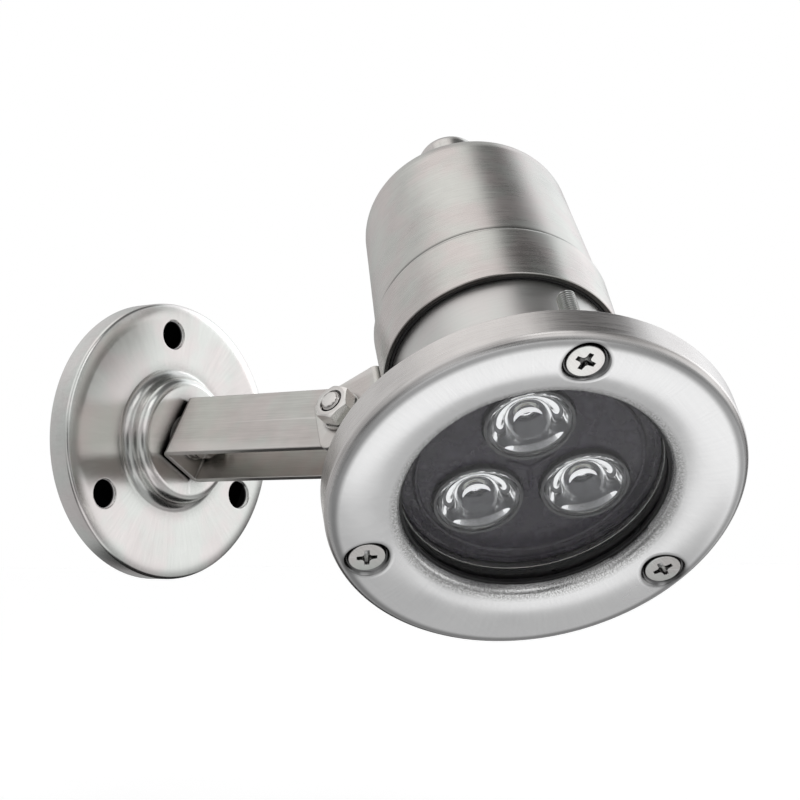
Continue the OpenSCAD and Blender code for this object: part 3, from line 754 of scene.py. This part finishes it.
# ---------------- pieces
def piece(name, shapes, at, body, nodes, key, smooth=32, weighted=True, second=None):
    """Makes a piece in the place of CAD nodes, with the material M[key]. second is the key of another material
    and a test of a face's middle, in mm, for where it goes."""
    verts, faces = joined(shapes)
    mesh = meshed(name, [Vector(v) * MM for v in verts], faces)
    bm = bmesh.new()
    bm.from_mesh(mesh)
    bmesh.ops.recalc_face_normals(bm, faces=bm.faces)
    bm.to_mesh(mesh)
    bm.free()
    mesh.materials.append(M[key])
    if second:
        mesh.materials.append(M[second[0]])
        for face in mesh.polygons:
            face.material_index = 1 if second[1](face.center / MM) else 0
    mesh.shade_smooth()
    mesh.set_sharp_from_angle(angle=radians(smooth))
    ob = placed(name, mesh)
    ob.matrix_world = at
    if weighted:
        mod = ob.modifiers.new("normals", "WEIGHTED_NORMAL")
        mod.keep_sharp = True
        mod.weight = 60
    bpy.context.view_layer.update()
    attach(ob, body)
    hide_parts(*nodes)


def dress(node, material):
    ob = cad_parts[node]
    if not ob.material_slots:
        ob.data.materials.append(material)
    for s in ob.material_slots:
        s.link = "OBJECT"
        s.material = material


# wall flange: pressed dish with a domed centre and three holes
FLANGE_TOP, FLANGE_SHEET = 15.2, 1.5
HOLE_R, HOLE_AT = 4.3, 32.5


def flange_shape():
    foot_r, foot_arc, top, face, sheet, rim_r = 22.6, 3.4, FLANGE_TOP, 8.6, FLANGE_SHEET, 42.2
    flat_r = 37.0
    wall = foot_r - foot_arc
    soft = top - face - foot_arc
    segs = 240
    inner = [(3.08, top - sheet + 0.1), (3.08, top - 0.15), (3.23, top)]
    inner += arc(wall - soft, top - soft, soft, 90, 0, 5) + arc(foot_r, face + foot_arc, foot_arc, 180, 270, 5)[1:]
    fall, brow = 15, 1.4
    turn = asin((rim_r - brow - flat_r) / (fall - brow))
    rz = face - fall + (fall - brow) * cos(turn)
    outer = arc(flat_r, face - fall, fall, 90, 90 - degrees(turn), 1.5)
    outer += arc(rim_r - brow, rz, brow, 90 - degrees(turn), 0, 6)[1:]
    outer += [(rim_r, 0.5), (rim_r - 0.15, 0.12), (rim_r - 0.5, 0), (rim_r - 1.1, 0), (rim_r - 1.4, 0.15),
              (rim_r - 1.5, 0.5), (rim_r - sheet, rz), (rim_r - sheet - 0.12, rz + 0.12), (37.6, face - sheet),
              (flat_r, face - sheet)]
    under = [(foot_r, face - sheet)] + arc(foot_r, face + foot_arc, foot_arc + sheet, 270, 180, 9)[1:]
    under += arc(wall - soft, top - soft, soft - sheet, 0, 90, 15) + [(3.08, top - sheet)]
    shapes = [lathe(profile, segs, closed=False) for profile in (inner, outer, under)]
    holes = spots(HOLE_AT, 90)
    rims = arc(4.7, face - 0.4, 0.4, 90, 180, 15) + [(HOLE_R, face - sheet + 0.15), (4.45, face - sheet)]
    for x, y in holes:
        shapes.append(moved(lathe(rims, 48, closed=False), Matrix.Translation((x, y, 0))))
    for z, r in ((face, 4.7), (face - sheet, 4.45)):
        shapes.append(flat_with_holes(circle(0, 0, flat_r, segs), [circle(x, y, r) for x, y in holes], z,
                                      circle(0, 0, foot_r, segs)))
    return welded(*joined(shapes))


piece("flange_plate", [flange_shape()], WALL, "wall_base", ["wall_flange"], "flange",
      smooth=38)

# swivel bolt and nut in the middle of the flange
M6_FLATS, M6_R, M6_PITCH, M6_BORE, M6_HEAD, M6_NUT = 10, 3, 1, 3.02, 4, 5
LINER, PLAY, ARM_SHEET, WASHER, SPRING_WASHER = 0.4, 0.05, 1.8, 1, 1.5
under_dome = FLANGE_TOP - FLANGE_SHEET
nut_z = FLANGE_TOP + LINER + PLAY + ARM_SHEET + PLAY + WASHER + SPRING_WASHER
piece("swivel_bolt_m6", [hexagon(M6_FLATS, under_dome - M6_HEAD, under_dome, high=False),
                         threaded(M6_R, M6_PITCH, under_dome - 0.5, nut_z + 5.8, plain=4)], WALL, "wall_base",
      ["swivel_bolt"], "bolt")
piece("swivel_nut_m6", [hexagon(M6_FLATS, nut_z, nut_z + M6_NUT, bore=M6_BORE)], WALL, "wall_base",
      ["swivel_nut"], "bolt")


# arm: a strip bent to a channel, with rounded ends
BOLT_HOLE_R = 3.08


def strip_corners(long, half):
    return (0, -half), (long, -half), (long, half), (0, half)


def arm_shape():
    leg, web, mid, wide, arc_r, end = 74.35, 11.7, 1.5, 20, 5.5, 7.4
    bend = mid * pi / 2
    total = 2 * leg + 2 * bend + web
    outline = rounded([(x, y, arc_r) for x, y in strip_corners(total, wide / 2)], 8)
    holes = [(x, 0, BOLT_HOLE_R) for x in (end, total - end, total / 2)]
    flat = plate(outline, holes, ARM_SHEET, 0.3)
    parts = [(leg, 0), (bend, 90), (web, 0), (bend, 90), (leg, 0)]
    return bent(flat, parts, lambda s, t, w: (7.35 - t, w, 92.4 - s))


piece("arm_strap", [arm_shape()], ARM, "arm", ["arm_bracket"], "arm", smooth=38)


# tilt bolt and nut
GRIP = 10.95  # from the middle of the arm to the bolt's head, and to its nut
piece("tilt_bolt_m6", [hexagon(M6_FLATS, -GRIP - M6_HEAD, -GRIP, high=False),
                       threaded(M6_R, M6_PITCH, -11.2, 16.75, plain=15)], TILT_AXIS, "arm", ["tilt_bolt"],
      "bolt")
piece("tilt_nut_m6", [about(hexagon(M6_FLATS, GRIP, GRIP + M6_NUT, bore=M6_BORE), 20)], TILT_AXIS, "arm",
      ["tilt_nut"], "bolt")


# lamp bracket: two ears and a web that follows the collar
def ears_shape():
    rm, rb, ex, tip = 34.22, 1.4, 9.1, 54.8
    cx = ex - rb
    phi = atan2(cx, sqrt((rm + rb) ** 2 - cx ** 2))
    cy = -sqrt((rm + rb) ** 2 - cx ** 2)
    ear = tip + cy
    turn = 90 + degrees(phi)
    bend = rb * radians(turn)
    web = 2 * phi * rm
    total = 2 * (ear + bend) + web
    outline = rounded([(x, y, 3.5) for x, y in strip_corners(total, 10.5)], 8)
    flat = plate(outline, [(x, -0.7, BOLT_HOLE_R) for x in (8.8, total - 8.8)], 1.6, 0.25)
    parts = [(ear, 0), (bend, turn), (web, -2 * degrees(phi)), (bend, turn), (ear, 0)]
    return bent(flat, parts, lambda s, t, w: (ex - t, -tip + s, 59.7 + w))


piece("lamp_ears", [ears_shape()], LAMP, "lamp", ["lamp_bracket"], "ears", smooth=38)


# bezel: crowned ring with a pressed dimple round each screw
def ease(t):
    t = max(0.0, min(1.0, t))
    return t * t * (3 - 2 * t)


def dimple(rho):
    """How far the sheet is pressed in at a distance from a screw's axis."""
    d = 0.12 * ease((7.2 - rho) / 1.1)
    d += 1.18 * ease((6.2 - rho) / 0.85)
    d += 1.55 * max(0.0, min(1.0, (5.3 - rho) / 2.6))
    return d


def bezel_shape():
    outer_r, crown_r, crown_arc, depth, edge_arc, lip_arc, sheet = 55, 47, 26, 10.6, 2.4, 2, 1.5

    def inside_crown(x, r):
        """Centre, at radius x, of an arc r that runs into the crown, and the angle where they meet."""
        turn, span = acos((x - crown_r) / (crown_arc - r)), crown_arc - r
        return (crown_r + span * cos(turn), crown_arc - span * sin(turn)), degrees(turn)

    lip, lt = inside_crown(37.6, lip_arc)
    edge, et = inside_crown(outer_r - edge_arc, edge_arc)
    out = [(outer_r, depth - 0.3)] + arc(*edge, edge_arc, 0, -et, 6)
    out += arc(crown_r, crown_arc, crown_arc, -et, -lt, 0.4)[1:]
    out += arc(*lip, lip_arc, -lt, -165, 7)[1:]
    out += [(35.27, 4.6), (35.4, 4.9), (36.4, 4.9)]
    count = len(out)
    out += arc(*lip, lip_arc - sheet, -165, -lt, 30)
    out += arc(crown_r, crown_arc, crown_arc - sheet, -lt, -et, 0.8)[1:]
    out += arc(*edge, edge_arc - sheet, -et, 0, 20)[1:]
    out += [(53.5, depth - 0.15), (53.7, depth), (54.7, depth), (54.9, depth - 0.1)]
    angles, a = [], 0.0
    while a < 360 - 1e-6:
        near = min(abs((a - SCREW_TURN - 120 * i + 180) % 360 - 180) for i in range(3))
        angles.append(radians(a))
        a += 0.16 if near < 10 else 0.5 if near < 12 else 1.25
    n = len(angles)
    shape = lathe(out, angles=angles)
    verts = []
    for i, (x, y, z) in enumerate(shape[0]):
        r = sqrt(x * x + y * y)
        if 38.2 < r < 53.6 and z < 4.5:
            rho = min(sqrt((x - sx) ** 2 + (y - sy) ** 2) for sx, sy in SCREWS)
            z += dimple(rho if i < count * n else max(0.0, rho - 0.9))
        verts.append((x, y, z))
    return verts, shape[1]


piece("bezel_ring", [bezel_shape()], LAMP, "lamp", ["bezel"], "bezel", smooth=50)


# bezel screws: countersunk, with a cross recess and a threaded shank
M5_R, M5_PITCH = 2.5, 0.8


def screw_shape():
    n, top, head_r = 160, 0.95, 4.85
    radii = [head_r * i / 56 for i in range(1, 54)] + [4.62, 4.72, 4.8, 4.85, 4.85]
    turns = [2 * pi * k / n for k in range(n)]

    def recess(x, y):
        """Depth of the cross recess."""
        u, v = x * cos(0.35) + y * sin(0.35), y * cos(0.35) - x * sin(0.35)
        rho = sqrt(x * x + y * y)
        arm = 0.86 - 0.09 * rho
        d = min(max(abs(u) - 2.7, abs(v) - arm), max(abs(v) - 2.7, abs(u) - arm))
        d = min(d, (abs(u) + abs(v) - 1.9) * 0.7)
        return ease(-d / 0.2) * max(0.6, 2.3 - 0.55 * rho)

    verts = [(0, 0, top + recess(0, 0))]
    for i, r in enumerate(radii):
        fall = 0.0 if r < 4.6 else 0.25 * (1 - sqrt(max(0, 1 - ((r - 4.6) / 0.25) ** 2)))
        if i == len(radii) - 1:
            fall = 0.55
        for a in turns:
            x, y = r * cos(a), r * sin(a)
            verts.append((x, y, top + 0.02 * r + fall + recess(x, y)))
    for z in (3.5, 3.7):
        verts += [(M5_R * cos(a), M5_R * sin(a), z) for a in turns]
    faces = [[0, 1 + (k + 1) % n, 1 + k] for k in range(n)]
    rows = len(radii) + 2
    faces += skin(rows, n, 1)
    last = 1 + (rows - 1) * n
    faces.append([last + k for k in range(n)])
    return verts, faces


screw = screw_shape()
shank = threaded(M5_R, M5_PITCH, 3.4, 26)
piece("bezel_screws_m5", three(screw, SCREW_R, SCREW_TURN) + three(shank, SCREW_R, SCREW_TURN), LAMP, "lamp",
      ["bezel_screws"], "screw", smooth=40, weighted=False)


# housing: turned cup and welded neck with thread
def cup_shape():
    profile = rounded([
        (38.4, 7, 0.2), (52.9, 7, 0.2), (52.9, 9.8, 0.3), (41.4, 9.8, 0.2), (40.4, 10.8, 0.3), (40.4, 13.9, 0.4),
        (36.7, 13.9, 0.6), (36.7, 19.4, 0.3), (35.7, 20.4, 0.3), (32.2, 20.4, 0.2), (31, 21.5, 0.4),
        (31, 18.4, 0.1), (34.7, 18.4, 0.1), (34.7, 11.9, 0.2), (38.4, 11.9, 0.1)])
    return lathe(profile, 200)


piece("housing_flange_cup", [cup_shape()], LAMP, "lamp", ["housing_cup"], "cup")


def neck_shape():
    outer = [(29.2, 18.4), (31, 18.4)]
    for z in (53.2, 61.5):
        outer += [(31, z - 0.75), (30.45, z - 0.7), (30.45, z + 0.7), (31, z + 0.75)]
    outer += [(31, 72.3)]
    z = 72.5
    while z < 77.1:
        outer += [(31.0, z), (30.55, z + 0.25)]
        z += 0.5
    outer += [(30.4, 77.5), (29.4, 77.5), (29.2, 77.3)]
    return lathe(outer, 200)


piece("housing_neck_tube", [neck_shape()], LAMP, "lamp", ["housing_neck"], "neck")


# rear can: collar, joggle, drafted body and rounded rear edge
def can_shape():
    profile = rounded([
        (32.0, 52.15, 0.1), (32.2, 52, 0.1), (33.15, 52, 0.2), (33.4, 52.25, 0.1), (33.4, 70.9, 0.3),
        (33.3, 71.25, 0.2), (32.75, 71.75, 0.3), (32.42, 72.3, 0.5), (32.36, 73.4, 0.5)])
    profile += [(32.36 - 2.16 * (z - 73.4) / 40.1, z) for z in (73.8, 74.4, 76, 82, 90, 98, 106, 111, 113)]
    profile += arc(20.2, 113.5, 10, 0, 90, 5)
    profile += [(8.2, 123.5), (7.8, 123.35), (7.65, 123.1), (7.65, 122.3)]
    profile += arc(20.2, 113.5, 8.8, 90, 0, 10)
    profile += [(30.85, 78.35), (31.1, 78.1), (31.1, 72.25), (32.0, 71.25)]
    return lathe(profile, 240)


piece("can_shell", [can_shape()], LAMP, "lamp", ["rear_can"], "can")


# lens plate with a raised ring, rim and short ribs
LENS_R, LENS_TURN = 16.4, -90
LENSES = spots(LENS_R, LENS_TURN)


def plate_shape():
    base = plate(circle(0, 0, 33.4, 180), [(x, y, 12.15) for x, y in LENSES], 2, 0.3)
    base = moved(base, Matrix.Translation((0, 0, 15.6)))
    bead = lathe([(30.2 + 0.75 * cos(radians(a)), 14.65 - 0.85 * sin(radians(a))) for a in range(0, 181, 15)]
                 + [(29.45, 14.8), (30.95, 14.8)], 200)
    rim = lathe(rounded([(33.0, 13.9, 0.4), (34.6, 13.9, 0.3), (34.6, 18.35, 0.2), (33.0, 18.35, 0.2)]), 200)
    shapes = [base, bead, rim]
    for i in range(3):
        prof = [(0.75 * cos(radians(a)), -0.75 * sin(radians(a))) for a in range(0, 181, 20)]
        verts, faces = [], []
        for j, (x, s) in enumerate(((-0.2, 0.4), (0.2, 1), (4.2, 1), (6.4, 0.8), (7.6, 0.25))):
            verts += [(x, py * s, pz * s) for py, pz in prof]
        m = len(prof)
        for j in range(4):
            for k in range(m - 1):
                a = j * m + k
                faces.append([a, a + 1, a + m + 1, a + m])
        faces += [list(range(m)), list(range(4 * m, 5 * m))[::-1]]
        for j in range(4):
            faces.append([j * m, j * m + m, j * m + 2 * m - 1, j * m + m - 1])
        shapes.append(about(moved((verts, faces), Matrix.Translation((0, 0, 14.7))), 90 + 120 * i))
    return shapes


piece("lens_mask", plate_shape(), LAMP, "lamp", ["lens_plate"], "black", smooth=40)


# lenses and their holders
def lens_side(z, gap=0.0):
    """Radius of the lens's flared side, from its mouth to its foot."""
    t = (z - 14.7) / 9.4
    return 3.9 + 6.35 * sqrt(max(0.0, 1 - t)) + gap


def cup_wall():
    inside = [(lens_side(14.7 + 9.4 * i / 12, 0.15), 14.7 + 9.4 * i / 12) for i in range(12, 0, -1)]
    outside = [(11.05, 13, 0.25), (12, 13, 0.3), (12, 17.3, 0.3), (5.65, 24.6, 0.3), (5.65, 27, 0.1),
               (4.05, 27, 0.1)]
    return rounded(outside) + inside + [(10.4, 14.8), (11.05, 14.8)]


cup = lathe(cup_wall(), 120)


def from_lens(p):
    """Distance of a point from the nearest lens's axis."""
    return min(sqrt((p.x - x) ** 2 + (p.y - y) ** 2) for x, y in LENSES)


def in_bore(p):
    """Whether a face's middle lies on the holder's bore, next to the lens."""
    return 14.9 < p.z < 26.9 and from_lens(p) < lens_side(p.z) + 0.35


# the bore next to each lens gets the lighter copy of the holder plastic, painted light
piece("lens_holders", three(cup, LENS_R, LENS_TURN), LAMP, "lamp", ["lens_cups"],
      "cupblack", second=("bore_painted_light", in_bore))


def tir_shape():
    front, mouth, back, foot = 13.5, 14.7, 24.1, 3.9
    well = [(0, 4.2), (1.2, 4.27), (2.2, 4.53), (2.9, 4.9), (3.7, 5.2), (3.95, 5.1), (4.12, 0.35), (4.35, 0.06),
            (4.65, 0)]
    rim = [(9.75, 0), (9.95, -0.16), (10.25, -0.22), (10.5, -0.16), (10.7, 0), (10.88, 0.12), (10.95, 0.35)]
    profile = [(r, front + z) for r, z in well + rim] + [(10.95, mouth - 0.1), (10.85, mouth), (10.25, mouth)]
    for i in range(1, 18):
        t = i / 18
        profile.append((foot + (10.25 - foot) * sqrt(1 - t), mouth + (back - mouth) * t))
    pocket = [(foot, 0), (2.95, 0), (2.85, 0.1), (2.6, 3.3), (2.45, 3.6), (1.7, 3.95), (0.9, 4.2), (0, 4.3)]
    profile += [(r, back - z) for r, z in pocket]
    return lathe(profile, 120, closed=False)


def on_well(p):
    """Whether a face's middle lies on the moulded wall of a lens's front well."""
    return 3.9 < from_lens(p) < 4.14 and 13.7 < p.z < 18.65


piece("collimators", three(tir_shape(), LENS_R, LENS_TURN), LAMP, "lamp", ["tir_lenses"], "lens",
      smooth=40, weighted=False, second=("well", on_well))


# LED packages: a round base with a silicone dome
led_base = lathe([(0, 27), (3.2, 27), (3.4, 26.85), (3.4, 26.0), (3.2, 25.8), (2.5, 25.8), (2.42, 25.95),
                  (2.3, 26.0), (0, 26.0)], 72, closed=False)
led_dome = lathe([(2.28, 26.0)] + [(2.2 * cos(radians(a)), 25.8 - 2.15 * sin(radians(a))) for a in range(0, 90, 6)]
                 + [(0, 23.65)], 72, closed=False)
piece("led_packages", three(led_base, LENS_R, LENS_TURN) + three(led_dome, LENS_R, LENS_TURN), LAMP, "lamp",
      ["led_emitters"], "phosphor", smooth=40)


# CAD nodes whose shape stays get their materials
for node, key in {
    "swivel_liner": "fibre", "swivel_washer": "washer", "swivel_spring_washer": "washer", "tilt_washers": "washer",
    "front_gasket": "rubber", "rear_gasket": "rubber", "can_o_rings": "rubber", "gland_seal": "rubber",
    "gland_bush": "rubber", "glass": "glass", "led_board": "board", "board_screws": "washer",
    "heat_sink": "aluminium",
    "lamp_leads": "wire", "driver_bracket": "aluminium", "driver_board": "pcb", "driver_coil": "copper",
    "driver_capacitors": "sleeve", "driver_chips": "black", "terminal_block": "terminal", "gland_body": "gland",
    "gland_locknut": "gland", "gland_cap": "gland",
}.items():
    dress(node, M[key])


# ---------------- stage and light
FLOOR_Z = -0.122  # just below the lamp's lowest reach at any pose

bpy.ops.mesh.primitive_circle_add(vertices=96, radius=4, fill_type="NGON", location=(0, 0, FLOOR_Z))
floor = bpy.context.object
floor.name = "floor"
floor.data.materials.append(Material("pale_floor").set(
    color=(0.86, 0.86, 0.86), rough=0.9, specular=0.1, glow=(1, 1, 1), glow_strength=0.45))
hidden_from(floor, "glossy")

bpy.ops.mesh.primitive_uv_sphere_add(segments=48, ring_count=24, radius=12, location=(0, 0, 0))
dome = bpy.context.object
dome.name = "backdrop"
white = Material("white_backdrop")
dome.data.materials.append(white.end(white.glow((1, 1, 1, 1))))
hidden_from(dome, "diffuse", "glossy", "transmission", "shadow", "volume_scatter")


# a dark cup behind the flange, seen only from its inside, so that the flange's holes look into shade
def shade_cup(r, back, front):
    """A disc closed by a low wall, both facing its inside."""
    segs = 96
    verts = [(x * MM, y * MM, z * MM) for y in (back, front) for x, z in circle(0, 0, r, segs)]
    wall = [[i, i + segs, (i + 1) % segs + segs, (i + 1) % segs] for i in range(segs)]
    return meshed("shade", verts, [list(range(segs))] + wall)


card = placed("shade_card", shade_cup(40.66, -0.3, -6.9))
dark = Material("shade")
dark.set(color=(0.004, 0.004, 0.004), rough=0.9, specular=0.0)
card.data.materials.append(dark.end(dark.either(dark.backfacing(), dark.shader.outputs[0], dark.gap())))
hidden_from(card, "diffuse", "glossy", "shadow")


def reflected(name, corners, z, tone, fade):
    """A level card that only reflections see. fade builds how much of it there is, from a place in mm."""
    x0, x1, y0, y1 = corners
    verts = [(x * MM, y * MM, z * MM) for x, y in ((x0, y0), (x1, y0), (x1, y1), (x0, y1))]
    mesh = meshed(name, verts, [[0, 1, 2, 3]])
    ob = placed(name, mesh)
    n = Material(name)
    mesh.materials.append(n.end(n.either(fade(n, n.place()), n.gap(), n.glow((tone, tone, tone, 1)))))
    hidden_from(ob, "camera", "diffuse", "transmission", "shadow", "volume_scatter")
    return ob


def round_fade(n, at, centre, outer, inner):
    return n.spread(n.measure("DISTANCE", at, centre), outer, inner, 0, 1, True)


GREY_Z, BLACK_Z = -125, -124


def under_lamp(n, at):
    """Grey below the wall-side half of the bezel."""
    half = n.spread(n.measure("DOT_PRODUCT", at, (0.585, 0.811, 0)), -144, -127, 0, 1, True)
    return n.math("MULTIPLY", half, round_fade(n, at, (14, -142, GREY_Z), 135, 75))


def under_flange(n, at):
    return round_fade(n, at, (55, 25, BLACK_Z), 115, 80)


grey_card = reflected("grey_card", (-200, 200, -320, 60), GREY_Z, 0.47, under_lamp)
black_card = reflected("black_card", (-70, 180, -100, 150), BLACK_Z, 0.02, under_flange)

LIGHT_TARGET = Vector((0.01, -0.1, 0.0))


def soft_light(name, direction, distance, size, power):
    data = bpy.data.lights.new(name, "AREA")
    data.shape = "RECTANGLE"
    data.size, data.size_y = size
    data.energy = power
    ob = placed(name, data)
    d = Vector(direction).normalized()
    ob.location = LIGHT_TARGET + d * distance
    ob.rotation_euler = (-d).to_track_quat("-Z", "Y").to_euler()
    hidden_from(ob, "camera")


def sky(base, lobes):
    """World light: a base tone with soft patches, each (azimuth, elevation, inner and outer degrees, tone, and
    how warm). Azimuth 0 is straight out of the wall, 90 is +X."""
    scene.world = bpy.data.worlds.new("studio")
    n = Nodes(scene.world)
    out = n.add("ShaderNodeOutputWorld")
    back = n.add("ShaderNodeBackground")
    n.join(back.outputs[0], out.inputs[0])
    coords = n.add("ShaderNodeTexCoord").outputs["Generated"]
    color = (base, base, base)
    for azimuth, elevation, inner, outer, tone, *warm in lobes:
        w = warm[0] if warm else 0
        a, e = radians(azimuth), radians(elevation)
        direction = Vector((sin(a) * cos(e), -cos(a) * cos(e), sin(e))).normalized()
        aligned = n.measure("DOT_PRODUCT", coords, direction)
        patch = n.spread(aligned, cos(radians(outer)), cos(radians(inner)), 0, 1, True)
        color = n.mix(patch, color, (tone * (1 + w), tone, tone * (1 - w)))
    n.join(color, back.inputs[0])


sky(0.50, [
    (0, -90, 70, 100, 0.36), (200, 0, 30, 60, 0.46), (325, -55, 14, 30, 0.88), (300, -12, 14, 30, 0.62),
    (309, -1, 7, 18, 0.10), (250, -50, 12, 28, 0.30), (326, -24, 7, 16, 0.14), (258, -31, 9, 20, 0.12),
    (115, -26, 14, 28, 0.26), (76, -70, 24, 38, 0.97), (85, 27, 24, 33, 1.12, -0.02), (38, 2, 13, 28, 0.98),
    (79, -14, 7, 17, 0.10), (208, 66, 16, 34, 0.98, 0.01), (180, 25, 14, 40, 0.64), (350, 38, 14, 30, 0.34),
    (328, 27, 10, 22, 0.98), (255, 38, 14, 30, 0.86), (20, 62, 10, 24, 0.16), (68, 66, 10, 23, 0.10),
])
soft_light("key", (-0.35, -0.55, 0.9), 0.9, (0.4, 0.3), 0.35)
soft_light("fill", (0.9, -0.35, 0.35), 1.0, (0.25, 0.5), 0.35)

scene.view_settings.view_transform = "Standard"
scene.view_settings.look = "None"
scene.view_settings.exposure = 0.0

bpy.context.view_layer.update()
